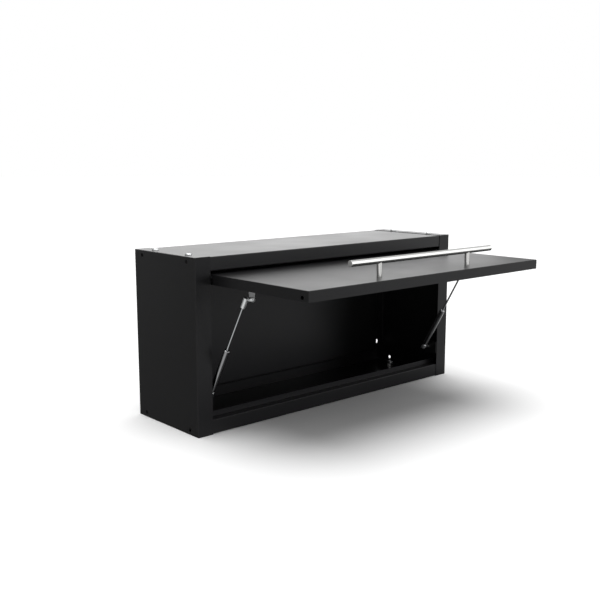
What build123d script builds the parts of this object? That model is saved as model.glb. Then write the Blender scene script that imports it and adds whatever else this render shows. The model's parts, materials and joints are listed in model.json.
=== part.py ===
from build123d import *
import math
import os

# Wall cabinet in folded sheet steel with a lift-up flap on two gas struts.
# Millimetres. +X to the right, +Y towards the wall, +Z up. The origin is the centre of the
# four wall holes, on the rear plane. The flap is drawn closed and then swung open.

# Carcass
WIDTH = 750.0
DEPTH = 215.0
HEIGHT = 350.0
SHEET = 1.0
BEND_INSIDE = 0.8
SIDE_FLANGE = 35.3
REAR_FLANGE = 36.5
PANEL_TUCK = 29.5
FLANGE_GAP = 0.3
TOP_FASCIA = 28.0
TOP_LIP = 10.0
TOP_LIP_CLEARANCE = 1.2
BOTTOM_FASCIA = 29.8
STOP_LIP = 10.3
BACK_SHEET = 1.0
BACK_LAP_SIDE = 4.8
BACK_LAP_END = 8.5

# Holes that fix the cabinet to a wall and to its neighbours
WALL_HOLE = 11.0
WALL_HOLE_FROM_SIDE = 24.0
WALL_HOLE_FROM_END = 51.5
JOIN_HOLE = 8.0
JOIN_HOLE_FROM_FACE = 28.2
JOIN_HOLE_FROM_END = 10.0

# Carcass screws, with hexagon nuts above and flush clinch nuts below
SCREW = 6.0
SCREW_HEAD = 13.6
SCREW_HEAD_HEIGHT = 3.6
SCREW_SOCKET = 4.0
SCREW_SOCKET_DEPTH = 2.0
SCREW_FROM_SIDE = 19.0
SCREW_SPACING = 118.0
SCREW_TIP = 1.0
NUT_ACROSS_FLATS = 10.0
NUT_HEIGHT = 5.0
CLINCH_NUT = 9.0

# Clearances
FIT = 0.05
HOLE_CLEARANCE = 0.3

# Flap
FLAP_THICKNESS = 20.0
FLAP_SHEET = 1.0
FLAP_BEND_INSIDE = 0.6
FLAP_SIDE_GAP = 3.5
FLAP_TOP_GAP = 1.9
FLAP_BOTTOM_GAP = 2.0
STOP_GAP = 0.5
SKIN_FLANGE = 8.0
DRAIN_HOLE = 8.0
DRAIN_HOLE_FROM_EDGE = 16.0
DRAIN_HOLE_FROM_FACE = 13.0

# Flap hinge: a headed pin in a bracket ear, turning in a flanged bush in the flap's end
HINGE_SETBACK = 5.5
HINGE_DROP = 10.4
PIN = 5.0
PIN_IN_FLAP = 7.0
PIN_HEAD_HEIGHT = 2.0
PIN_HEAD_GAP = 0.3
BUSH_WALL = 1.2
BUSH_LENGTH = 8.0
BUSH_FLANGE = 9.6
BUSH_FLANGE_THICKNESS = 1.0
BUSH_END_GAP = 0.3

# Brackets folded from strip and welded behind the side panels' front flanges
BRACKET_SHEET = 1.5
BRACKET_FOOT = 24.0
HINGE_EAR_BEYOND_PIN = 8.0
HINGE_EAR_BELOW_PIN = 40.0
HINGE_FOOT_HEIGHT = 26.0
STRUT_EAR_BEYOND_STUD = 8.0
STRUT_EAR_HEIGHT = 28.0
EAR_ROUND = 6.0

# Bar handle
BAR = 12.0
BAR_LENGTH = 415.0
BAR_CHAMFER = 0.6
BAR_STANDOFF = 32.0
POST = 10.0
POST_SPACING = 262.0
POST_SPIGOT = 6.0
POST_SPIGOT_LENGTH = 4.0
POST_THREAD_DEPTH = 12.0
HANDLE_FROM_EDGE = 32.5
HANDLE_SCREW = 5.0
HANDLE_SCREW_HEAD = 9.0
HANDLE_SCREW_HEAD_HEIGHT = 3.0
HANDLE_SCREW_IN_POST = 10.0
STIFFENER_SHEET = 1.2
STIFFENER_CROWN = 30.0
STIFFENER_FLANGE = 12.0
STIFFENER_LENGTH = 600.0

# Gas struts
STRUT_FROM_FLAP_END = 12.2
STRUT_FOOT_SETBACK = 28.5
STRUT_FOOT_HEIGHT = 72.0
STRUT_HEAD_REACH = 92.0
STRUT_HEAD_STANDOFF = 19.9
TUBE = 12.0
TUBE_WALL = 1.0
TUBE_BASE = 2.5
TUBE_NOSE = 3.0
TUBE_ROLL = 3.0
TUBE_FROM_PIVOT = 8.0
ROD = 4.0
GUIDE_LENGTH = 11.5
PISTON_LENGTH = 3.0
PISTON_GAP = 0.15
PISTON_END_GAP = 0.5
PISTON_BASE_GAP = 1.5
BALL = 8.0
STUD = 5.0
STUD_COLLAR_FLATS = 8.0
SOCKET = 10.4
SOCKET_BEYOND_BALL = 5.4
SOCKET_REACH = 18.0
SOCKET_ROUND = 2.4
SOCKET_GAP = 1.5
STUD_NUT_HEIGHT = 4.0
STUD_NUT_FLATS = 8.0

# Strut brackets on the flap
LUG_FROM_STRUT = 14.0
LUG_SHEET = 2.0
LUG_ROOT = 20.0
LUG_TIP = 10.0
LUG_BEYOND_STUD = 5.0
LUG_FOOT = 24.0
LUG_GAP = 0.3
RIVET = 4.0
RIVET_HEAD = 8.0
RIVET_HEAD_HEIGHT = 1.4
RIVET_TAIL = 5.6
RIVET_TAIL_LENGTH = 2.0
RIVET_SPACING = 12.0

# Places that follow from the sizes above
BEND = BEND_INSIDE + SHEET
RIGHT = WIDTH / 2
TOP = HEIGHT / 2
BOTTOM = -HEIGHT / 2
FRONT = -DEPTH
MIDDLE = -DEPTH / 2
FLANGE_EDGE = RIGHT - SIDE_FLANGE
BEHIND_FLANGE = FRONT + SHEET
PANEL_HALF = FLANGE_EDGE + PANEL_TUCK
UNDER_TOP = TOP - SHEET
ABOVE_BOTTOM = BOTTOM + SHEET
FLAP_HALF = FLANGE_EDGE - FLAP_SIDE_GAP
FLAP_TOP = TOP - TOP_FASCIA - FLAP_TOP_GAP
FLAP_BOTTOM = BOTTOM + BOTTOM_FASCIA + FLAP_BOTTOM_GAP
FLAP_HEIGHT = FLAP_TOP - FLAP_BOTTOM
FLAP_BACK = FRONT + FLAP_THICKNESS
HINGE_Y = FRONT + HINGE_SETBACK
HINGE_Z = FLAP_TOP - HINGE_DROP
EAR_INNER = FLAP_HALF + BUSH_FLANGE_THICKNESS + BUSH_END_GAP
EAR_OUTER = EAR_INNER + BRACKET_SHEET
HANDLE_Z = FLAP_BOTTOM + HANDLE_FROM_EDGE
BAR_Y = FRONT - BAR_STANDOFF
STRUT_X = FLAP_HALF - STRUT_FROM_FLAP_END
LUG_X = STRUT_X - LUG_FROM_STRUT
FOOT_Y = FRONT + STRUT_FOOT_SETBACK
FOOT_Z = BOTTOM + STRUT_FOOT_HEIGHT
HEAD_Y = FLAP_BACK + STRUT_HEAD_STANDOFF
HEAD_Z = HINGE_Z - STRUT_HEAD_REACH
SCREW_PLACES = [
    (side * (RIGHT - SCREW_FROM_SIDE), MIDDLE + step * SCREW_SPACING / 2)
    for side in (-1, 1)
    for step in (-1, 1)
]

# Strut lengths with the flap open and closed, and the open strut's lean
OPEN_HEAD_Y = HINGE_Y + (HEAD_Z - HINGE_Z)
OPEN_HEAD_Z = HINGE_Z - (HEAD_Y - HINGE_Y)
OPEN_LENGTH = math.hypot(OPEN_HEAD_Y - FOOT_Y, OPEN_HEAD_Z - FOOT_Z)
CLOSED_LENGTH = math.hypot(HEAD_Y - FOOT_Y, HEAD_Z - FOOT_Z)
STROKE = OPEN_LENGTH - CLOSED_LENGTH
LEAN = math.degrees(math.atan2(FOOT_Y - OPEN_HEAD_Y, OPEN_HEAD_Z - FOOT_Z))
TUBE_LENGTH = (
    TUBE_BASE + PISTON_BASE_GAP + STROKE + PISTON_LENGTH + PISTON_END_GAP + GUIDE_LENGTH
)
TUBE_END = TUBE_FROM_PIVOT + TUBE_LENGTH
PISTON_TOP = TUBE_END - GUIDE_LENGTH - PISTON_END_GAP
ROD_END = OPEN_LENGTH - BALL / 2 - FIT - SOCKET_GAP


def block(x0, x1, y0, y1, z0, z1):
    """A box between two opposite corners."""
    centre = Pos((x0 + x1) / 2, (y0 + y1) / 2, (z0 + z1) / 2)
    return centre * Box(x1 - x0, y1 - y0, z1 - z0)


def bar_x(radius, x0, x1, y, z):
    """A round bar along X."""
    return Pos((x0 + x1) / 2, y, z) * Rot(0, 90, 0) * Cylinder(radius, x1 - x0)


def bar_y(radius, x, y0, y1, z):
    """A round bar along Y."""
    return Pos(x, (y0 + y1) / 2, z) * Rot(90, 0, 0) * Cylinder(radius, y1 - y0)


def bar_z(radius, x, y, z0, z1):
    """A round bar along Z."""
    return Pos(x, y, (z0 + z1) / 2) * Cylinder(radius, z1 - z0)


def hexagon(across_flats, height):
    """A hexagonal prism on z = 0."""
    return extrude(RegularPolygon(across_flats / 2, 6, major_radius=False), height)


def strip_section(points, radii, thickness, side):
    """The section of a folded strip, drawn along one of its faces."""
    face_line = FilletPolyline(*points, radius=radii)
    return make_face(offset(face_line, amount=thickness, side=side))


def tray(length, width, depth, thickness, bend_inside):
    """A tray folded up on four sides: floor at z = 0, open at the top, corners welded."""
    outer = Pos(0, 0, depth / 2) * Box(length, width, depth)
    outer = fillet(outer.faces().sort_by(Axis.Z)[0].edges(), bend_inside + thickness)
    inner = Pos(0, 0, thickness + depth / 2)
    inner *= Box(length - 2 * thickness, width - 2 * thickness, depth)
    inner = fillet(inner.faces().sort_by(Axis.Z)[0].edges(), bend_inside)
    return outer - inner


def button_screw(shank, head, head_height, length, socket, socket_depth):
    """A button-head screw: head above z = 0, shank below, hexagon socket in the head."""
    dome = Pos(0, 0, head_height / 2) * Cylinder(head / 2, head_height)
    dome = fillet(dome.edges().sort_by(Axis.Z)[-1], head_height * 0.7)
    screw = dome + bar_z(shank / 2, 0, 0, -length, 0)
    return screw - Pos(0, 0, head_height - socket_depth) * hexagon(socket, head_height)


def nut(across_flats, height, thread):
    """A hexagon nut on z = 0."""
    return hexagon(across_flats, height) - bar_z(thread / 2 + FIT, 0, 0, -height, 2 * height)


def swing_open(shape):
    """Turn a piece of the closed flap a quarter turn up about the hinge."""
    return Pos(0, HINGE_Y, HINGE_Z) * Rot(-90, 0, 0) * Pos(0, -HINGE_Y, -HINGE_Z) * shape


def side_panel():
    """Right side panel: a tray with inward flanges on all four sides."""
    place = Plane(origin=(RIGHT, MIDDLE, 0), x_dir=(0, 1, 0), z_dir=(-1, 0, 0))
    panel = place * tray(DEPTH, HEIGHT, SIDE_FLANGE, SHEET, BEND_INSIDE)
    wall_x = RIGHT - WALL_HOLE_FROM_SIDE
    screw_radius = SCREW / 2 + HOLE_CLEARANCE
    for end in (-1, 1):
        wall_z = end * (TOP - WALL_HOLE_FROM_END)
        panel -= bar_y(WALL_HOLE / 2, wall_x, -2 * SHEET, SHEET, wall_z)
        for face in (-1, 1):
            join_y = MIDDLE + face * (DEPTH / 2 - JOIN_HOLE_FROM_FACE)
            join_z = end * (TOP - JOIN_HOLE_FROM_END)
            panel -= bar_x(JOIN_HOLE / 2, RIGHT - 2 * SHEET, RIGHT + SHEET, join_y, join_z)
    for x, y in SCREW_PLACES[2:]:
        panel -= bar_z(screw_radius, x, y, UNDER_TOP - SHEET, TOP + SHEET)
        panel -= bar_z(CLINCH_NUT / 2 + FIT, x, y, BOTTOM - SHEET, ABOVE_BOTTOM + SHEET)
    return panel


def notch_rear_corners(panel):
    """Let the rear flange fit between the side panels' rear flanges."""
    edge = FLANGE_EDGE - FLANGE_GAP
    depth = SHEET + FLANGE_GAP
    for side in (-1, 1):
        inner, outer = sorted((side * edge, side * (PANEL_HALF + SHEET)))
        panel -= block(inner, outer, -depth, SHEET, BOTTOM - SHEET, TOP + SHEET)
    return panel


def top_panel():
    """Roof with a front fascia, a lip behind the flap's hinge edge, and a rear flange."""
    fascia_foot = TOP - TOP_FASCIA
    flap_sweep = math.hypot(FLAP_BACK - HINGE_Y, HINGE_DROP)
    lip_face = HINGE_Y + flap_sweep + TOP_LIP_CLEARANCE
    points = [
        (lip_face, fascia_foot - TOP_LIP),
        (lip_face, fascia_foot),
        (BEHIND_FLANGE, fascia_foot),
        (BEHIND_FLANGE, UNDER_TOP),
        (0, UNDER_TOP),
        (0, TOP - REAR_FLANGE),
    ]
    section = Plane.YZ * strip_section(points, [BEND_INSIDE, BEND, BEND, BEND], SHEET, Side.RIGHT)
    panel = notch_rear_corners(extrude(section, PANEL_HALF, both=True))
    for x, y in SCREW_PLACES:
        panel -= bar_z(SCREW / 2 + HOLE_CLEARANCE, x, y, UNDER_TOP - 2 * SHEET, TOP)
    return panel


def bottom_panel():
    """Floor with a boxed front sill, the flap's stop lip and a rear flange."""
    ledge = BOTTOM + BOTTOM_FASCIA
    stop_face = FLAP_BACK + STOP_GAP
    points = [
        (stop_face, ledge + STOP_LIP),
        (stop_face, ledge),
        (BEHIND_FLANGE, ledge),
        (BEHIND_FLANGE, ABOVE_BOTTOM),
        (0, ABOVE_BOTTOM),
        (0, BOTTOM + REAR_FLANGE),
    ]
    section = Plane.YZ * strip_section(points, [BEND_INSIDE, BEND, BEND, BEND], SHEET, Side.LEFT)
    panel = notch_rear_corners(extrude(section, PANEL_HALF, both=True))
    for x, y in SCREW_PLACES:
        panel -= bar_z(SCREW / 2 + HOLE_CLEARANCE, x, y, BOTTOM, ABOVE_BOTTOM + 2 * SHEET)
    return panel


def back_panel():
    """Flat back, lapped on the rear flanges from inside."""
    half = FLANGE_EDGE + BACK_LAP_SIDE
    end = TOP - REAR_FLANGE + BACK_LAP_END
    return block(-half, half, -SHEET - BACK_SHEET, -SHEET, -end, end)


def carcass_fasteners():
    """Screws and nuts that join the roof and the floor to the side panels."""
    through = 2 * SHEET
    top_screw = button_screw(
        SCREW, SCREW_HEAD, SCREW_HEAD_HEIGHT,
        through + NUT_HEIGHT + SCREW_TIP, SCREW_SOCKET, SCREW_SOCKET_DEPTH,
    )
    floor_screw = button_screw(
        SCREW, SCREW_HEAD, SCREW_HEAD_HEIGHT, through, SCREW_SOCKET, SCREW_SOCKET_DEPTH,
    )
    top_nut = nut(NUT_ACROSS_FLATS, NUT_HEIGHT, SCREW)
    clinch_nut = bar_z(CLINCH_NUT / 2, 0, 0, 0, SHEET) - bar_z(SCREW / 2 + FIT, 0, 0, -SHEET, 2 * SHEET)
    under_roof = UNDER_TOP - SHEET - NUT_HEIGHT
    floor = ABOVE_BOTTOM + SHEET
    return {
        "top_screws": [Pos(x, y, TOP) * top_screw for x, y in SCREW_PLACES],
        "top_nuts": [Pos(x, y, under_roof) * top_nut for x, y in SCREW_PLACES],
        "floor_screws": [Pos(x, y, floor) * floor_screw for x, y in SCREW_PLACES],
        "floor_clinch_nuts": [Pos(x, y, BOTTOM) * clinch_nut for x, y in SCREW_PLACES],
    }


def welded_bracket(ear_back, z0, z1):
    """An angle with its foot behind the right front flange and its ear beside the flap."""
    points = [
        (EAR_INNER + BRACKET_FOOT, BEHIND_FLANGE),
        (EAR_INNER, BEHIND_FLANGE),
        (EAR_INNER, ear_back),
    ]
    section = strip_section(points, [BEND_INSIDE + BRACKET_SHEET], BRACKET_SHEET, Side.RIGHT)
    angle = Pos(0, 0, z0) * extrude(section, z1 - z0)
    corners = angle.edges().filter_by(Axis.X).group_by(Axis.Y)[-1]
    return fillet(corners, EAR_ROUND)


def hinge_bracket():
    """Hinge angle, its foot kept below the pin's head."""
    low = HINGE_Z - HINGE_EAR_BELOW_PIN
    high = HINGE_Z + HINGE_EAR_BEYOND_PIN
    bracket = welded_bracket(HINGE_Y + HINGE_EAR_BEYOND_PIN, low, high)
    foot_end = EAR_INNER + BRACKET_FOOT
    bracket -= block(
        EAR_OUTER, foot_end + SHEET, FRONT, BEHIND_FLANGE + 2 * BEND, low + HINGE_FOOT_HEIGHT, high + SHEET
    )
    return bracket - bar_x(PIN / 2 + FIT, EAR_INNER - SHEET, EAR_OUTER + SHEET, HINGE_Y, HINGE_Z)


def hinge_pin():
    """Headed pin, riveted in the bracket's ear and free in the flap's bush."""
    tip = FLAP_HALF - PIN_IN_FLAP
    head = HINGE_SETBACK - SHEET - PIN_HEAD_GAP
    pin = bar_x(PIN / 2, tip, EAR_OUTER, HINGE_Y, HINGE_Z)
    pin = chamfer(pin.edges().sort_by(Axis.X)[0], PIN / 10)
    return pin + bar_x(head, EAR_OUTER, EAR_OUTER + PIN_HEAD_HEIGHT, HINGE_Y, HINGE_Z)


def hinge_bush():
    """Flanged bush pressed into the flap's end wall."""
    outside = PIN / 2 + FIT + BUSH_WALL
    bush = bar_x(outside, FLAP_HALF - BUSH_LENGTH, FLAP_HALF, HINGE_Y, HINGE_Z)
    bush += bar_x(BUSH_FLANGE / 2, FLAP_HALF, FLAP_HALF + BUSH_FLANGE_THICKNESS, HINGE_Y, HINGE_Z)
    return bush - bar_x(PIN / 2 + FIT, FLAP_HALF - 2 * BUSH_LENGTH, EAR_INNER, HINGE_Y, HINGE_Z)


def strut_bracket():
    """Angle that carries the strut's lower ball stud."""
    half = STRUT_EAR_HEIGHT / 2
    bracket = welded_bracket(FOOT_Y + STRUT_EAR_BEYOND_STUD, FOOT_Z - half, FOOT_Z + half)
    return bracket - bar_x(STUD / 2 + FIT, EAR_INNER - SHEET, EAR_OUTER + SHEET, FOOT_Y, FOOT_Z)


def flap_pan():
    """Outer pan of the flap: the face and its four folded edges."""
    middle_z = (FLAP_TOP + FLAP_BOTTOM) / 2
    place = Plane(origin=(0, FRONT, middle_z), x_dir=(1, 0, 0), z_dir=(0, 1, 0))
    pan = place * tray(2 * FLAP_HALF, FLAP_HEIGHT, FLAP_THICKNESS, FLAP_SHEET, FLAP_BEND_INSIDE)
    bush_radius = PIN / 2 + BUSH_WALL + 2 * FIT
    drain_z = FLAP_BOTTOM + DRAIN_HOLE_FROM_EDGE
    drain_y = FRONT + DRAIN_HOLE_FROM_FACE
    for side in (-1, 1):
        x0, x1 = sorted((side * (FLAP_HALF - 2 * FLAP_SHEET), side * (FLAP_HALF + FLAP_SHEET)))
        pan -= bar_x(bush_radius, x0, x1, HINGE_Y, HINGE_Z)
        pan -= bar_x(DRAIN_HOLE / 2, x0, x1, drain_y, drain_z)
        post_x = side * POST_SPACING / 2
        screw_radius = HANDLE_SCREW / 2 + HOLE_CLEARANCE
        pan -= bar_y(screw_radius, post_x, FRONT - FLAP_SHEET, FRONT + 2 * FLAP_SHEET, HANDLE_Z)
    return pan


def rivet_places():
    """Rivet centres of the right flap bracket, in X and Z."""
    x = LUG_X - LUG_FOOT / 2
    return [(x, HEAD_Z - RIVET_SPACING / 2), (x, HEAD_Z + RIVET_SPACING / 2)]


def flap_skin():
    """Inner skin of the flap, flush with the pan's rim. It ends at the strut brackets,
    so that the strut heads can swing past its ends."""
    middle_z = (FLAP_TOP + FLAP_BOTTOM) / 2
    place = Plane(origin=(0, FLAP_BACK, middle_z), x_dir=(1, 0, 0), z_dir=(0, -1, 0))
    high = FLAP_HEIGHT - 2 * FLAP_SHEET
    skin = place * tray(2 * LUG_X, high, SKIN_FLANGE, FLAP_SHEET, FLAP_BEND_INSIDE)
    for x, z in rivet_places():
        for side in (-1, 1):
            skin -= bar_y(RIVET / 2 + FIT, side * x, FLAP_BACK - 2 * FLAP_SHEET, FLAP_BACK + FLAP_SHEET, z)
    return skin


def flap_stiffener():
    """Hat channel between the two skins, behind the handle."""
    back = FLAP_BACK - FLAP_SHEET
    front = FRONT + FLAP_SHEET
    crown = STIFFENER_CROWN / 2
    rim = crown + STIFFENER_FLANGE
    points = [
        (back, HANDLE_Z - rim),
        (back, HANDLE_Z - crown),
        (front + STIFFENER_SHEET, HANDLE_Z - crown),
        (front + STIFFENER_SHEET, HANDLE_Z + crown),
        (back, HANDLE_Z + crown),
        (back, HANDLE_Z + rim),
    ]
    outside = FLAP_BEND_INSIDE + STIFFENER_SHEET
    radii = [outside, FLAP_BEND_INSIDE, FLAP_BEND_INSIDE, outside]
    section = Plane.YZ * strip_section(points, radii, STIFFENER_SHEET, Side.LEFT)
    channel = extrude(section, STIFFENER_LENGTH / 2, both=True)
    for side in (-1, 1):
        x = side * POST_SPACING / 2
        radius = HANDLE_SCREW / 2 + HOLE_CLEARANCE
        channel -= bar_y(radius, x, FRONT, front + 2 * STIFFENER_SHEET, HANDLE_Z)
    return channel


def handle_bar():
    """Round bar with a blind hole over each post."""
    bar = bar_x(BAR / 2, -BAR_LENGTH / 2, BAR_LENGTH / 2, BAR_Y, HANDLE_Z)
    bar = chamfer(bar.edges().filter_by(GeomType.CIRCLE), BAR_CHAMFER)
    seat = BAR_Y + BAR / 2
    for side in (-1, 1):
        x = side * POST_SPACING / 2
        depth = POST_SPIGOT_LENGTH + FIT
        bar -= bar_y(POST_SPIGOT / 2 + FIT, x, seat - depth, seat + BAR, HANDLE_Z)
    return bar


def handle_post(side):
    """Post saddled to the bar, with a spigot in it, tapped for its screw."""
    x = side * POST_SPACING / 2
    post = bar_y(POST / 2, x, BAR_Y, FRONT, HANDLE_Z)
    post -= bar_x(BAR / 2 + FIT, x - POST, x + POST, BAR_Y, HANDLE_Z)
    spigot_end = BAR_Y + BAR / 2 - POST_SPIGOT_LENGTH
    post += bar_y(POST_SPIGOT / 2, x, spigot_end, BAR_Y + BAR, HANDLE_Z)
    return post - bar_y(HANDLE_SCREW / 2 + FIT, x, FRONT - POST_THREAD_DEPTH, FRONT + POST, HANDLE_Z)


def handle_screws():
    """Screws from inside the flap into the posts."""
    seat = FRONT + FLAP_SHEET + STIFFENER_SHEET
    length = FLAP_SHEET + STIFFENER_SHEET + HANDLE_SCREW_IN_POST
    socket = HANDLE_SCREW * 0.6
    screw = button_screw(
        HANDLE_SCREW, HANDLE_SCREW_HEAD, HANDLE_SCREW_HEAD_HEIGHT,
        length, socket, HANDLE_SCREW_HEAD_HEIGHT / 2,
    )
    return [
        Pos(side * POST_SPACING / 2, seat, HANDLE_Z) * Rot(-90, 0, 0) * screw
        for side in (-1, 1)
    ]


def flap_bracket():
    """Strut bracket on the flap: a riveted foot and a tapered lug."""
    foot = block(
        LUG_X - LUG_FOOT, LUG_X, FLAP_BACK, FLAP_BACK + LUG_SHEET,
        HEAD_Z - LUG_ROOT / 2, HEAD_Z + LUG_ROOT / 2,
    )
    tip = HEAD_Y + LUG_BEYOND_STUD
    outline = Polyline(
        (FLAP_BACK, HEAD_Z - LUG_ROOT / 2),
        (tip, HEAD_Z - LUG_TIP / 2),
        (tip, HEAD_Z + LUG_TIP / 2),
        (FLAP_BACK, HEAD_Z + LUG_ROOT / 2),
        close=True,
    )
    lug = extrude(Plane.YZ * make_face(outline), LUG_SHEET)
    lug = fillet(lug.edges().filter_by(Axis.X).group_by(Axis.Y)[-1], LUG_TIP / 4)
    bracket = foot + Pos(LUG_X - LUG_SHEET, 0, 0) * lug
    for x, z in rivet_places():
        bracket -= bar_y(RIVET / 2 + FIT, x, FLAP_BACK - LUG_SHEET, FLAP_BACK + 2 * LUG_SHEET, z)
    return bracket - bar_x(STUD / 2 + FIT, LUG_X - 2 * LUG_SHEET, LUG_X + LUG_SHEET, HEAD_Y, HEAD_Z)


def flap_rivets():
    """Blind rivets that hold the flap brackets to the inner skin."""
    through = LUG_SHEET + FLAP_SHEET
    head = Pos(0, 0, RIVET_HEAD_HEIGHT / 2) * Cylinder(RIVET_HEAD / 2, RIVET_HEAD_HEIGHT)
    head = fillet(head.edges().sort_by(Axis.Z)[-1], RIVET_HEAD_HEIGHT * 0.8)
    rivet = head + bar_z(RIVET / 2, 0, 0, -through, 0)
    rivet += bar_z(RIVET_TAIL / 2, 0, 0, -through - RIVET_TAIL_LENGTH, -through)
    return [
        Pos(side * x, FLAP_BACK + LUG_SHEET, z) * Rot(-90, 0, 0) * rivet
        for x, z in rivet_places()
        for side in (-1, 1)
    ]


def flap_stud_nuts():
    """Nuts on the inner faces of the two lugs."""
    stud_nut = nut(STUD_NUT_FLATS, STUD_NUT_HEIGHT, STUD)
    right = Pos(LUG_X - LUG_SHEET, HEAD_Y, HEAD_Z) * Rot(0, -90, 0) * stud_nut
    return [right, mirror(right, about=Plane.YZ)]


def in_strut(shape):
    """Place a piece drawn along +Z from the lower ball in the open right strut."""
    return Pos(STRUT_X, FOOT_Y, FOOT_Z) * Rot(LEAN, 0, 0) * shape


def ball_socket(ball_at, tail, stud_side):
    """Ball socket from its nose beyond the ball to its tail, open for the stud on one side."""
    nose = ball_at - math.copysign(SOCKET_BEYOND_BALL, tail - ball_at)
    body = bar_z(SOCKET / 2, 0, 0, min(nose, tail), max(nose, tail))
    rims = body.edges().filter_by(GeomType.CIRCLE)
    body = fillet(rims, min(SOCKET_ROUND, SOCKET / 4))
    body -= Pos(0, 0, ball_at) * Rot(0, 0, 90) * Sphere(BALL / 2 + FIT)
    x0, x1 = sorted((0, stud_side * SOCKET))
    return body - bar_x(STUD / 2 + HOLE_CLEARANCE, x0, x1, 0, ball_at)


def strut_tube():
    """Cylinder of the strut: closed base, rolled-in end round the guide."""
    shell = bar_z(TUBE / 2, 0, 0, TUBE_FROM_PIVOT, TUBE_END)
    ends = shell.edges().filter_by(GeomType.CIRCLE)
    shell = fillet(ends, min(TUBE_ROLL, TUBE / 4))
    bore = TUBE / 2 - TUBE_WALL
    shell -= bar_z(bore, 0, 0, TUBE_FROM_PIVOT + TUBE_BASE, TUBE_END - TUBE_NOSE)
    return shell - bar_z(ROD / 2 + FIT, 0, 0, TUBE_END - 2 * TUBE_NOSE, TUBE_END + TUBE_NOSE)


def strut_guide():
    """Rod guide and seal held in the tube's end."""
    outside = TUBE / 2 - TUBE_WALL - FIT
    guide = bar_z(outside, 0, 0, TUBE_END - GUIDE_LENGTH, TUBE_END - TUBE_NOSE)
    return guide - bar_z(ROD / 2 + FIT, 0, 0, TUBE_END - 2 * GUIDE_LENGTH, TUBE_END)


def strut_rod():
    """Piston rod from the piston to the upper socket."""
    return bar_z(ROD / 2, 0, 0, PISTON_TOP - PISTON_LENGTH, ROD_END)


def strut_piston():
    """Piston on the rod's inner end."""
    outside = TUBE / 2 - TUBE_WALL - PISTON_GAP
    piston = bar_z(outside, 0, 0, PISTON_TOP - PISTON_LENGTH, PISTON_TOP)
    return piston - bar_z(ROD / 2 + FIT, 0, 0, PISTON_TOP - 2 * PISTON_LENGTH, PISTON_TOP + PISTON_LENGTH)


def upper_socket():
    """Socket on the rod's end, open towards the flap bracket."""
    socket = ball_socket(OPEN_LENGTH, OPEN_LENGTH - SOCKET_REACH, -1)
    return socket - bar_z(ROD / 2 + FIT, 0, 0, OPEN_LENGTH - 2 * SOCKET_REACH, ROD_END + FIT)


def lower_socket():
    """Socket on the tube's base, open towards the carcass bracket."""
    return ball_socket(0, TUBE_FROM_PIVOT, 1)


def upper_stud():
    """Ball stud that stops just short of the flap bracket's lug."""
    reach = LUG_FROM_STRUT - LUG_GAP
    collar_start = SOCKET / 2 + SOCKET_GAP
    stud = Sphere(BALL / 2) + bar_x(STUD / 2, -reach, 0, 0, 0)
    collar = hexagon(STUD_COLLAR_FLATS, reach - collar_start)
    stud += Pos(-reach, 0, 0) * Rot(0, 90, 0) * collar
    return Pos(STRUT_X, OPEN_HEAD_Y, OPEN_HEAD_Z) * stud


def lower_stud():
    """Ball stud through the carcass bracket's ear."""
    ear = EAR_INNER - STRUT_X
    collar_start = SOCKET / 2 + SOCKET_GAP
    end = ear + BRACKET_SHEET + STUD_NUT_HEIGHT + SCREW_TIP
    stud = Sphere(BALL / 2) + bar_x(STUD / 2, 0, end, 0, 0)
    collar = hexagon(STUD_COLLAR_FLATS, ear - collar_start)
    stud += Pos(collar_start, 0, 0) * Rot(0, 90, 0) * collar
    return Pos(STRUT_X, FOOT_Y, FOOT_Z) * stud


def lower_stud_nut():
    """Nut behind the carcass bracket's ear."""
    stud_nut = nut(STUD_NUT_FLATS, STUD_NUT_HEIGHT, STUD)
    return Pos(EAR_OUTER, FOOT_Y, FOOT_Z) * Rot(0, 90, 0) * stud_nut


def build():
    """Every piece by name, with the flap open."""
    pieces = {
        "top_panel": top_panel(),
        "bottom_panel": bottom_panel(),
        "back_panel": back_panel(),
        "flap_pan": swing_open(flap_pan()),
        "flap_skin": swing_open(flap_skin()),
        "flap_stiffener": swing_open(flap_stiffener()),
        "handle_bar": swing_open(handle_bar()),
        "handle_post_left": swing_open(handle_post(-1)),
        "handle_post_right": swing_open(handle_post(1)),
    }
    groups = carcass_fasteners()
    groups["handle_screws"] = [swing_open(screw) for screw in handle_screws()]
    groups["flap_rivets"] = [swing_open(rivet) for rivet in flap_rivets()]
    groups["flap_stud_nuts"] = [swing_open(stud_nut) for stud_nut in flap_stud_nuts()]
    for name, solids in groups.items():
        pieces[name] = Compound(children=solids)
    right_hand = {
        "side_panel": side_panel(),
        "hinge_bracket": hinge_bracket(),
        "hinge_pin": hinge_pin(),
        "hinge_bush": swing_open(hinge_bush()),
        "strut_bracket": strut_bracket(),
        "flap_bracket": swing_open(flap_bracket()),
        "lower_stud": lower_stud(),
        "lower_stud_nut": lower_stud_nut(),
        "lower_socket": in_strut(lower_socket()),
        "strut_tube": in_strut(strut_tube()),
        "strut_guide": in_strut(strut_guide()),
        "strut_piston": in_strut(strut_piston()),
        "strut_rod": in_strut(strut_rod()),
        "upper_socket": in_strut(upper_socket()),
        "upper_stud": upper_stud(),
    }
    for name, piece in right_hand.items():
        pieces[name + "_right"] = piece
        pieces[name + "_left"] = mirror(piece, about=Plane.YZ)
    return pieces


os.makedirs("parts", exist_ok=True)
for node, shape in build().items():
    export_step(shape, "parts/" + node + ".step")
print("strut open", round(OPEN_LENGTH, 3), "closed", round(CLOSED_LENGTH, 3), "lean", round(LEAN, 3))
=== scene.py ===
# %% [markdown]
# # A wall cabinet with a lift-up flap
# A shallow cabinet in folded black steel hangs on a wall. Its flap is held up by two gas struts and
# is pulled down by a round bar along its free edge. The CAD model already has every folded sheet,
# screw, bracket and strut in its true place, so this lesson spends its time on finishes and light.

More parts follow.
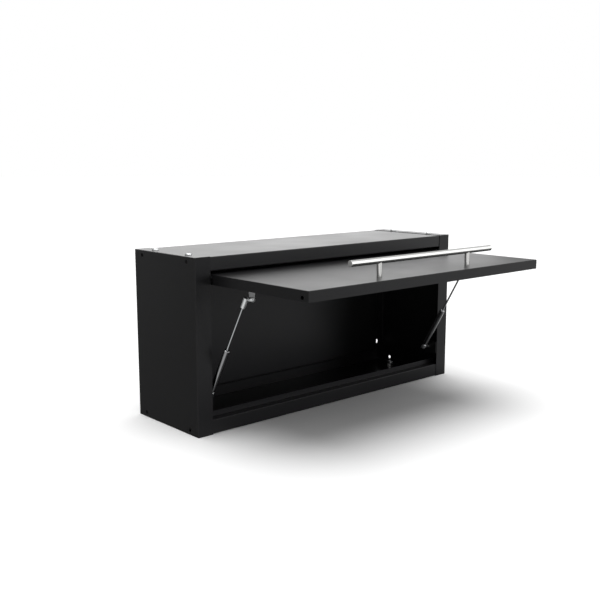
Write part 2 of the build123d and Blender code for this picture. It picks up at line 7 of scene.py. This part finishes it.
# %% Load the model
import json
import math
import bpy
import bmesh
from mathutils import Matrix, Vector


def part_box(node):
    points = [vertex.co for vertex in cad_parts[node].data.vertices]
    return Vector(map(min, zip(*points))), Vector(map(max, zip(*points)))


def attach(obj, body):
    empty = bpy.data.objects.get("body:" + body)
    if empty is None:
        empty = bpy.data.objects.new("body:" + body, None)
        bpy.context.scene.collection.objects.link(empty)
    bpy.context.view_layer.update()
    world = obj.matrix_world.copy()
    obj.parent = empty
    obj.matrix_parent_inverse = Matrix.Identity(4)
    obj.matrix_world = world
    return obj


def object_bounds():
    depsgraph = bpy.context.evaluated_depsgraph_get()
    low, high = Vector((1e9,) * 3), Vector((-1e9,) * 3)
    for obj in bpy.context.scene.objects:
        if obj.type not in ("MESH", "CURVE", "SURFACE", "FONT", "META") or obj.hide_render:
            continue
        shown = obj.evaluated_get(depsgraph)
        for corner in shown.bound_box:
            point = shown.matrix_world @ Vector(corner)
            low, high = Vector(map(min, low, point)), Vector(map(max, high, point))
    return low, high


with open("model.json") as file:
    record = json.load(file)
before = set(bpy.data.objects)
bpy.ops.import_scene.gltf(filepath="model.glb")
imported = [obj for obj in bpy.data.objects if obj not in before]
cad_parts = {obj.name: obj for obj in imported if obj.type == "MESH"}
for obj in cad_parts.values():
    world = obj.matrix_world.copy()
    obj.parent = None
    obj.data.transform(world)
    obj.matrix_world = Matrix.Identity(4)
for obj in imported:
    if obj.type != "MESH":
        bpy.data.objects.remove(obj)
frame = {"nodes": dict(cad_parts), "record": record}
cad_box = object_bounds()
nodes = frame["nodes"]

# %% [markdown]
# ## The camera
# The straight edges of the cabinet run to three vanishing points, and those fix where the picture
# was taken from: about two metres away, in front of the left end, a little above the roof. A 50 mm
# lens on a 36 mm sensor gives the same gentle convergence, so no shift is needed.

# %% Camera
EYE = (-1.2521, -1.4950, 0.3538)
PITCH, HEADING = 80.482, -41.666

camera_data = bpy.data.cameras.new("camera")
camera_data.lens = 50.0
camera_data.sensor_width = 36.0
camera = bpy.data.objects.new("camera", camera_data)
camera.location = EYE
camera.rotation_euler = (math.radians(PITCH), 0.0, math.radians(HEADING))
bpy.context.scene.collection.objects.link(camera)
bpy.context.scene.camera = camera
bpy.context.scene.view_settings.view_transform = "Standard"
print("camera at", EYE, "looking", PITCH, HEADING)

# %% [markdown]
# ## Colours and nodes
# A colour is picked on a screen, so it is written as an sRGB hex value, and the shaders need
# it in linear light. One function adds a node, with its settings, values and links.

# %% Helpers for nodes
def linear(hex_colour):
    """An sRGB hex colour as linear RGBA."""
    channels = [int(hex_colour[i:i + 2], 16) / 255 for i in (1, 3, 5)]
    curve = [c / 12.92 if c <= 0.04045 else ((c + 0.055) / 1.055) ** 2.4 for c in channels]
    return (*curve, 1.0)


def set_inputs(tree, node, inputs):
    """Fill a node's inputs, each with a plain value or with the output socket that feeds it."""
    for name, value in inputs.items():
        if isinstance(value, bpy.types.NodeSocket):
            tree.links.new(value, node.inputs[name])
        else:
            node.inputs[name].default_value = value


def add_node(tree, kind, settings, inputs):
    """Add a node with its settings and inputs."""
    node = tree.nodes.new(kind)
    for name, value in settings.items():
        setattr(node, name, value)
    set_inputs(tree, node, inputs)
    return node


print("mid grey is", round(linear("#808080")[0], 3), "in linear light")

# %% [markdown]
# ## Patterns
# A noise pattern is set by how many lumps fit in a metre, while a finisher thinks in millimetres between
# lumps. Every finish here is made from such noises, used in three ways: to mix two tones, to spread the
# roughness over a range, or to raise a bump.

# %% Helpers for finishes
def new_finish(name):
    """An empty material, its shader and the piece's own coordinates in metres."""
    material = bpy.data.materials.new(name)
    material.use_nodes = True
    tree = material.node_tree
    shader = tree.nodes["Principled BSDF"]
    place = tree.nodes.new("ShaderNodeTexCoord").outputs["Object"]
    return material, tree, shader, place


def lumps_every(millimetres):
    """The texture scale that puts one lump in every so many millimetres."""
    return 1000.0 / millimetres


def noise(tree, place, millimetres, detail, roughness=0.5):
    """A noise with one lump in every so many millimetres."""
    return add_node(tree, "ShaderNodeTexNoise", {}, {
        "Vector": place, "Scale": lumps_every(millimetres),
        "Detail": detail, "Roughness": roughness}).outputs["Fac"]


def two_tones(tree, pattern, first, second):
    """A colour that wanders between two tones, which go in sockets 6 and 7."""
    return add_node(tree, "ShaderNodeMix", {"data_type": "RGBA"}, {
        0: pattern, 6: linear(first), 7: linear(second)}).outputs[2]


def spread(tree, pattern, low, high):
    """A value that wanders over a range, as most of a noise lies between 0.3 and 0.7."""
    return add_node(tree, "ShaderNodeMapRange", {}, {
        "Value": pattern, "From Min": 0.3, "From Max": 0.7, "To Min": low, "To Max": high}).outputs["Result"]


def bump(tree, pattern, depth, strength):
    """A surface raised by a pattern, so many metres deep."""
    return add_node(tree, "ShaderNodeBump", {}, {
        "Height": pattern, "Distance": depth, "Strength": strength}).outputs["Normal"]


print("a lump every 2 mm is a scale of", lumps_every(2.0))

# %% [markdown]
# ## Black powder coat
# The sheets are sprayed with polyester powder and baked. The powder melts into one thick skin that
# never lies quite flat, which painters call orange peel: lumps two or three millimetres wide and a few
# hundredths deep. A flat black would look like cardboard. What shows the metal shape is the soft gloss,
# so the colour is close to black and the detail goes into the bump and the roughness.

# %% Powder coat
PEEL_MM = 3.5          # real peel is 2 to 3 mm; a little coarser so that it shows
PEEL_DEPTH = 0.00002
CLOUD_MM = 160.0       # slow change in gloss where the oven was hotter
SPECK_MM = 1.2

powder_coat, tree, shader, place = new_finish("satin_black_polyester_powder_coat")
peel = noise(tree, place, PEEL_MM, 2.0, 0.45)
cloud = noise(tree, place, CLOUD_MM, 3.0)
speck = noise(tree, place, SPECK_MM, 1.0)
set_inputs(tree, shader, {
    "Base Color": two_tones(tree, speck, "#0d0d0e", "#141415"),
    "Roughness": spread(tree, cloud, 0.31, 0.37),
    "Normal": bump(tree, peel, PEEL_DEPTH, 0.5),
    "IOR": 1.5,
    "Specular IOR Level": 0.26,     # the matting agent dulls it face on
})
print("made", powder_coat.name)

# %% [markdown]
# ## Bright zinc plate
# Screws, nuts, brackets and ball joints are pressed or turned steel, tumbled and plated in a barrel. The
# zinc is a pale metal with a faint blue cast, and the tumbling leaves it finely mottled, never a mirror.

# %% Zinc plate
MOTTLE_MM = 5.0
TUMBLE_MM = 1.0        # tumbling marks are finer; this is as fine as the picture can hold
TUMBLE_DEPTH = 0.00002

zinc_plate, tree, shader, place = new_finish("bright_zinc_barrel_plate")
mottle = noise(tree, place, MOTTLE_MM, 3.0)
tumble = noise(tree, place, TUMBLE_MM, 3.0)
set_inputs(tree, shader, {
    "Base Color": two_tones(tree, mottle, "#dfe2e5", "#ececea"),
    "Roughness": spread(tree, mottle, 0.28, 0.42),
    "Normal": bump(tree, tumble, TUMBLE_DEPTH, 0.5),
    "Metallic": 1.0,
})
print("made", zinc_plate.name)

# %% [markdown]
# ## Polished stainless steel
# The handle is bright-drawn stainless bar, linished along its length with a fine belt. Its scratches all
# run one way, so they are noise that is stretched along the bar. Light from above stays a clean white
# streak, and the dark flap shows in the lower half.

# %% Stainless steel
SCRATCH_MM = 0.5       # belt scratches are far finer; drawn wide enough to show
SCRATCH_STRETCH = 0.02

stainless, tree, shader, place = new_finish("linished_stainless_bar")
along = add_node(tree, "ShaderNodeMapping", {}, {
    "Vector": place, "Scale": (SCRATCH_STRETCH, 1.0, 1.0)})
scratch = noise(tree, along.outputs["Vector"], SCRATCH_MM, 2.0)
set_inputs(tree, shader, {
    "Base Color": two_tones(tree, scratch, "#d2d2d0", "#e6e6e4"),
    "Roughness": spread(tree, scratch, 0.13, 0.22),
    "Metallic": 1.0,
})
print("made", stainless.name)

# %% [markdown]
# ## The struts' cylinders
# A gas strut's cylinder is drawn steel tube under a thin clear lacquer. It shows a soft grey metal glint
# along its length, with a second, fainter one on the lacquer.

# %% Strut lacquer
LACQUER_MM = 2.0

strut_lacquer, tree, shader, place = new_finish("clear_lacquer_on_bright_drawn_tube")
ripple = noise(tree, place, LACQUER_MM, 2.0)
set_inputs(tree, shader, {
    "Base Color": two_tones(tree, ripple, "#8c8d8f", "#969697"),
    "Roughness": spread(tree, ripple, 0.12, 0.2),
    "Metallic": 1.0,
    "Coat Weight": 0.5,
    "Coat Roughness": 0.12,
})
print("made", strut_lacquer.name)

# %% [markdown]
# ## The struts' rods
# The rod is ground and hard-chromed, since the seal runs on it. Grinding leaves rings too fine to see
# singly, which only soften the bright line along the rod.

# %% Chrome rod
RING_MM = 0.6          # grinding rings, drawn coarser than real

chrome, tree, shader, place = new_finish("ground_hard_chrome_rod")
rings = noise(tree, place, RING_MM, 1.0)
set_inputs(tree, shader, {
    "Base Color": linear("#bfc1c3"),
    "Roughness": spread(tree, rings, 0.08, 0.16),
    "Metallic": 1.0,
})
print("made", chrome.name)

# %% [markdown]
# ## Moulded nylon
# The guide in a strut's mouth, its piston and the flap's bushes are moulded black nylon. The mould was
# spark-eroded, so the plastic comes out matt and slightly grainy, and a little greyer than the paint.

# %% Moulded nylon
GRAIN_MM = 0.8
GRAIN_DEPTH = 0.00003

nylon, tree, shader, place = new_finish("moulded_black_nylon")
grain = noise(tree, place, GRAIN_MM, 2.0)
set_inputs(tree, shader, {
    "Base Color": two_tones(tree, grain, "#161617", "#232324"),
    "Normal": bump(tree, grain, GRAIN_DEPTH, 0.6),
    "Roughness": 0.48,
    "IOR": 1.53,
})
print("made", nylon.name)

# %% [markdown]
# ## A tray on the back
# The back panel is a shallow folded tray: its face stands a little in front of the flanges around it. A thin
# hem under its lower edge stands in for the shadow line there, and the front lamp is flagged off it so it stays
# dark. The CAD model has the panel as a flat sheet, so the tray and its hem are made here and ride on the
# carcass.

# %% Back tray
TRAY_DEPTH, TRAY_BEND, TRAY_LAP = 0.0039, 0.003, 0.0024
HEM_HEIGHT, HEM_BEND, HEM_SHEET = 0.0036, 0.0002, 0.001


def painted_piece(name, shape, body):
    """Turn a bmesh into a painted piece that moves with a body of the cabinet."""
    mesh = bpy.data.meshes.new(name)
    bmesh.ops.recalc_face_normals(shape, faces=shape.faces)
    shape.to_mesh(mesh)
    shape.free()
    mesh.materials.append(powder_coat)
    piece = bpy.data.objects.new(name, mesh)
    bpy.context.scene.collection.objects.link(piece)
    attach(piece, body)
    return piece


def folded_sheet(low, high, bend):
    """A sheet between two corners, with its front edges bent over."""
    shape = bmesh.new()
    bmesh.ops.create_cube(shape, size=1.0)
    for vertex in shape.verts:
        vertex.co = [h if c > 0 else l for c, l, h in zip(vertex.co, low, high)]
    middle = (low[1] + high[1]) / 2
    rim = [edge for edge in shape.edges if all(v.co.y < middle for v in edge.verts)]
    bmesh.ops.bevel(shape, geom=rim, offset=bend, segments=5, profile=0.5, affect="EDGES")
    return shape


low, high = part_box("back_panel")
painted_piece("back_tray", folded_sheet(
    (low[0] - TRAY_LAP, low[1] - TRAY_DEPTH, low[2]),
    (high[0] + TRAY_LAP, low[1], high[2]), TRAY_BEND), "carcass")
# The hem stands in for the shadow under the tray's edge; the front lamp is flagged off it so that it stays
# dark.
hem = painted_piece("back_hem", folded_sheet(
    (low[0], low[1], low[2] - HEM_HEIGHT),
    (high[0], low[1] + HEM_SHEET, low[2]), HEM_BEND), "carcass")
print("tray face at", round(low[1] - TRAY_DEPTH, 4))

# %% [markdown]
# ## Cups behind the flap's drain holes
# Each end of the flap has a drain hole near its front corner. The bay behind it is open underneath, so light
# would show through the hole. A small cup behind each hole keeps that light out, and the hole reads as black.

# %% Drain cups
CUP_RADIUS, CUP_DEPTH, CUP_SHEET = 0.0052, 0.010, 0.0006
HOLE_FROM_EDGE, HOLE_FROM_FACE = 0.016, 0.013
MOUTH_INSIDE = 0.0006     # the mouth is let into the end wall, which is 1 mm thick


def open_cup():
    """A cup about the origin, with its mouth up."""
    shape = bmesh.new()
    bmesh.ops.create_cone(shape, cap_ends=True, segments=32,
                          radius1=CUP_RADIUS, radius2=CUP_RADIUS, depth=CUP_DEPTH)
    mouth = [face for face in shape.faces if face.normal.z > 0.9]
    bmesh.ops.inset_individual(shape, faces=mouth, thickness=CUP_SHEET)
    bmesh.ops.inset_individual(shape, faces=mouth, thickness=0.0, depth=CUP_SHEET - CUP_DEPTH)
    return shape


low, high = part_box("flap_pan")
for name, side in (("drain_cup_left", -1), ("drain_cup_right", 1)):
    shape = open_cup()
    for vertex in shape.verts:
        across, up, out = vertex.co
        vertex.co = (side * (high[0] - MOUTH_INSIDE + out - CUP_DEPTH / 2),
                     low[1] + HOLE_FROM_EDGE + across,
                     high[2] - HOLE_FROM_FACE + up)
    painted_piece(name, shape, "flap")
print("two cups of", CUP_DEPTH, "m")

# %% [markdown]
# ## Each piece gets its finish
# The record says which finish every piece has, by a slot name. Looking the slot up there keeps the
# painted, plated and chromed pieces in step with the CAD model.

# %% Put the finishes on
FINISHES = {
    "powder_coat": powder_coat,
    "zinc_plate": zinc_plate,
    "stainless": stainless,
    "strut_tube": strut_lacquer,
    "chrome_rod": chrome,
    "black_nylon": nylon,
}
for subpart in frame["record"]["subparts"]:
    piece = nodes[subpart["node"]]
    for place_in_list in piece.material_slots:
        place_in_list.material = FINISHES[subpart["material_slot"]]

# %% [markdown]
# ## A white studio
# The cabinet stands on an endless white floor before a glowing backdrop, and the camera sees both as plain
# white. Black gloss shows whatever it faces, so white paper all round would wash it out. Floor and backdrop
# are therefore kept out of the mirrors. There a grey patch, whose grey is painted shade, takes the floor's
# place where the flap shades it.

# %% Floor and backdrop
FLOOR_Z = cad_box[0].z
FLOOR_HALF = 30.0
SHADED = (-0.28, -0.65, 0.45, 0.0)     # left, front, right and back of the floor that the open flap shades
SHADED_ABOVE = 0.0005
DOME_RADIUS = 25.0
BOUNCED = ("diffuse", "transmission", "volume_scatter")     # rays that carry light on from matt or clear things


def hide_from(piece, rays):
    """Make a piece unseen by some kinds of ray."""
    for ray in rays:
        setattr(piece, "visible_" + ray, False)


def stage_sheet(name, corners, paper, unseen_by):
    """A four-cornered sheet of paper as part of the stage."""
    mesh = bpy.data.meshes.new(name)
    mesh.from_pydata(corners, [], [(0, 1, 2, 3)])
    mesh.materials.append(paper)
    sheet = bpy.data.objects.new(name, mesh)
    bpy.context.scene.collection.objects.link(sheet)
    hide_from(sheet, unseen_by)
    return sheet


def lying(z, left, near, right, far):
    """The corners of a sheet that lies at a height."""
    return [(left, near, z), (right, near, z), (right, far, z), (left, far, z)]


def matt_paper(name, hex_colour, glow):
    """Plain matt paper, which can glow by itself."""
    material, tree, shader, place = new_finish(name)
    set_inputs(tree, shader, {
        "Base Color": linear(hex_colour),
        "Roughness": 1.0,
        "Specular IOR Level": 0.0,
        "Emission Color": linear("#ffffff"),
        "Emission Strength": glow,
    })
    return material


floor = stage_sheet("floor", lying(FLOOR_Z, -FLOOR_HALF, -FLOOR_HALF, FLOOR_HALF, FLOOR_HALF),
                    matt_paper("white_floor_paper", "#f6f6f6", 0.0), ("glossy",))
# The grey of this patch is painted shade: it stands for the floor in the open flap's shadow, and only mirrors
# see it.
shaded = stage_sheet("shaded_floor_for_mirrors", lying(FLOOR_Z + SHADED_ABOVE, *SHADED),
                     matt_paper("grey_floor_paper", "#8a8a8a", 0.0), BOUNCED + ("camera", "shadow"))

dome_mesh = bpy.data.meshes.new("backdrop")
shell = bmesh.new()
bmesh.ops.create_uvsphere(shell, u_segments=48, v_segments=24, radius=DOME_RADIUS)
shell.to_mesh(dome_mesh)
shell.free()
dome = bpy.data.objects.new("backdrop", dome_mesh)
bpy.context.scene.collection.objects.link(dome)
dome_mesh.materials.append(matt_paper("lit_white_backdrop", "#000000", 1.0))
hide_from(dome, BOUNCED + ("glossy", "shadow"))
print("floor at", round(FLOOR_Z, 4))

# %% [markdown]
# ## Cards by the fascia
# The open flap mirrors the fascia above it, and in satin paint that would leave a broad dull band. Two thin
# cards stand just in front of the fascia, which only mirrors see: a dark one keeps the first millimetres of
# the mirror image black, and a glowing one above it lifts the rest. From behind, both are clear.
# A flag in the gap behind the flap's rear edge keeps the lamps out of it, so that the gap reads as black.

# %% Fascia cards
CARD_IN_FRONT = 0.0015
CARD_EDGES = (0.0008, 0.0168, 0.0318)     # heights above the flap's face
CARD_GLOW = 0.45
FLAG_BEHIND, FLAG_EDGES = 0.0005, (-0.02, 0.0038)


def front_glow(name, glow):
    """Paper that glows to the front and is clear from behind."""
    material = bpy.data.materials.new(name)
    material.use_nodes = True
    tree = material.node_tree
    lit = add_node(tree, "ShaderNodeEmission", {}, {"Strength": glow})
    clear = add_node(tree, "ShaderNodeBsdfTransparent", {}, {})
    side = add_node(tree, "ShaderNodeNewGeometry", {}, {})
    both = add_node(tree, "ShaderNodeMixShader", {}, {
        0: side.outputs["Backfacing"], 1: lit.outputs[0], 2: clear.outputs[0]})
    set_inputs(tree, tree.nodes["Material Output"], {"Surface": both.outputs[0]})
    return material


def over_the_flap(y, edges):
    """The corners of an upright strip as long as the flap, between two heights above its face."""
    low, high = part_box("flap_pan")
    bottom, top = (high[2] + edge for edge in edges)
    return [(low[0], y, bottom), (high[0], y, bottom), (high[0], y, top), (low[0], y, top)]


card_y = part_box("top_panel")[0][1] - CARD_IN_FRONT
flag_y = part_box("flap_pan")[1][1] + FLAG_BEHIND
stage_sheet("dark_card", over_the_flap(card_y, CARD_EDGES[:2]),
            front_glow("dark_card_paper", 0.0), BOUNCED + ("camera", "shadow"))
stage_sheet("fascia_card", over_the_flap(card_y, CARD_EDGES[1:]),
            front_glow("glowing_card_paper", CARD_GLOW), BOUNCED + ("camera", "shadow"))
stage_sheet("gap_flag", over_the_flap(flag_y, FLAG_EDGES),
            matt_paper("black_flag_paper", "#000000", 0.0), BOUNCED + ("camera",))
print("cards at", round(card_y, 4), "flag at", round(flag_y, 4))

# %% [markdown]
# ## Lamps
# A softbox overhead throws the soft shadow under the flap, and a fill as wide as the sky keeps that shadow
# grey. A low lamp in front on the right lights the inside, and is flagged off the floor and the hem. Two
# screens behind give the painted sheets their sheen, the carcass a little more than the flap. A strip in
# front picks out the bright metal and the fascia.

# %% Studio light
KEY_WIDTH, KEY_STRENGTH = 53.0, 2.7
FILL_WIDTH, FILL_STRENGTH = 170.0, 1.5
FRONT_WIDTH, FRONT_STRENGTH, FRONT_TILT, FRONT_TURN = 30.0, 6.5, 88.0, 38.0
SCREEN_WIDTH, SCREEN_TILT, SCREEN_TURN = 62.0, 84.0, 156.0
SCREEN_STRENGTH, CARCASS_SCREEN_STRENGTH = 0.90, 0.26
STRIP_WIDTH, STRIP_STRENGTH, STRIP_TILT, STRIP_TURN = 60.0, 0.55, 65.0, 45.0
CARCASS_SHEETS = ("top_panel", "bottom_panel", "back_panel", "side_panel_left", "side_panel_right")
BRIGHT_METALS = ("stainless", "zinc_plate", "chrome_rod", "strut_tube")


def soft_sun(name, width, strength, tilt, turn):
    """A soft light as wide as so many degrees of sky, tilted from straight above, then turned."""
    lamp = bpy.data.lights.new(name, "SUN")
    lamp.angle = math.radians(width)
    lamp.energy = strength
    light = bpy.data.objects.new(name, lamp)
    light.rotation_euler = (math.radians(tilt), 0.0, math.radians(turn))
    bpy.context.scene.collection.objects.link(light)
    return light


def shine_only_on(light, wanted):
    """Flag a light off everything but the pieces with these finishes or names."""
    lit = bpy.data.collections.new("lit_by_" + light.name)
    for subpart in frame["record"]["subparts"]:
        if subpart["material_slot"] in wanted or subpart["node"] in wanted:
            lit.objects.link(nodes[subpart["node"]])
    light.light_linking.receiver_collection = lit


soft_sun("overhead_softbox", KEY_WIDTH, KEY_STRENGTH, 0.0, 0.0)
fill = soft_sun("room_fill", FILL_WIDTH, FILL_STRENGTH, 0.0, 0.0)
fill.visible_glossy = False
front = soft_sun("front_fill", FRONT_WIDTH, FRONT_STRENGTH, FRONT_TILT, FRONT_TURN)
front.visible_glossy = False
flagged = bpy.data.collections.new("flagged_from_the_front_fill")
front.light_linking.receiver_collection = flagged
for piece in (floor, shaded, hem):
    flagged.objects.link(piece)
for entry in flagged.collection_objects:
    entry.light_linking.link_state = "EXCLUDE"

screen = soft_sun("rear_screen", SCREEN_WIDTH, SCREEN_STRENGTH, SCREEN_TILT, SCREEN_TURN)
shine_only_on(screen, ("powder_coat",))
carcass_screen = soft_sun("carcass_screen", SCREEN_WIDTH, CARCASS_SCREEN_STRENGTH, SCREEN_TILT, SCREEN_TURN)
shine_only_on(carcass_screen, CARCASS_SHEETS)
strip = soft_sun("front_strip", STRIP_WIDTH, STRIP_STRENGTH, STRIP_TILT, STRIP_TURN)
shine_only_on(strip, BRIGHT_METALS + ("top_panel",))
print("overhead light", KEY_STRENGTH, "fill", FILL_STRENGTH, "screen", SCREEN_STRENGTH)

# %% [markdown]
# ## The room in the mirrors
# Paint and metal also mirror the room. It is drawn by tone alone, at so many degrees round from the cabinet's
# right, counter-clockwise from above: pale walls, a dim corner behind on the left, and other tones for the
# ground below the horizon. Matt surfaces get no light from it.

# %% Room for the reflections
ROOM = ((-180, 0.6), (-140, 0.95), (-90, 0.9), (-55, 0.95), (-33, 0.95), (0, 0.7), (35, 0.6),
        (75, 0.6), (100, 0.45), (123, 0.27), (140, 0.27), (180, 0.6))
GROUND = ((-180, 0.8), (-150, 0.8), (-110, 0.3), (-80, 0.05), (-40, 0.05), (-15, 0.5), (10, 0.9),
          (35, 0.9), (70, 0.3), (100, 0.1), (118, 0.18), (140, 0.18), (158, 0.7), (180, 0.8))
LOWER = ((-0.3, 0.0), (-0.08, 1.0))     # how far up or down the view points, and the room's share there


def profile(tree, place, start, end, stops):
    """A smooth curve through (place, level) stops, while the place runs from start to end."""
    curve = add_node(tree, "ShaderNodeValToRGB", {}, {"Fac": place})
    marks = curve.color_ramp.elements
    while len(marks) < len(stops):
        marks.new(0.5)
    for mark, (at, level) in zip(marks, stops):
        mark.position = (at - start) / (end - start)
        mark.color = (level, level, level, 1.0)
    curve.color_ramp.interpolation = "EASE"
    return curve.outputs["Color"]


world = bpy.data.worlds.new("studio")
world.use_nodes = True
world.cycles_visibility.diffuse = False
bpy.context.scene.world = world
tree = world.node_tree
direction = tree.nodes.new("ShaderNodeTexCoord").outputs["Generated"]
around = add_node(tree, "ShaderNodeTexGradient", {"gradient_type": "RADIAL"}, {
    "Vector": direction}).outputs["Fac"]
z = add_node(tree, "ShaderNodeSeparateXYZ", {}, {"Vector": direction}).outputs["Z"]
height = add_node(tree, "ShaderNodeMapRange", {}, {
    "Value": z, "From Min": -1.0, "From Max": 1.0}).outputs["Result"]
seen = add_node(tree, "ShaderNodeMix", {"data_type": "FLOAT"}, {     # ground in socket 2, room in socket 3
    0: profile(tree, height, -1, 1, LOWER),
    2: profile(tree, around, -180, 180, GROUND),
    3: profile(tree, around, -180, 180, ROOM)})
set_inputs(tree, tree.nodes["Background"], {"Strength": seen.outputs[0], "Color": linear("#ffffff")})
print("room with", len(ROOM), "tones round it")
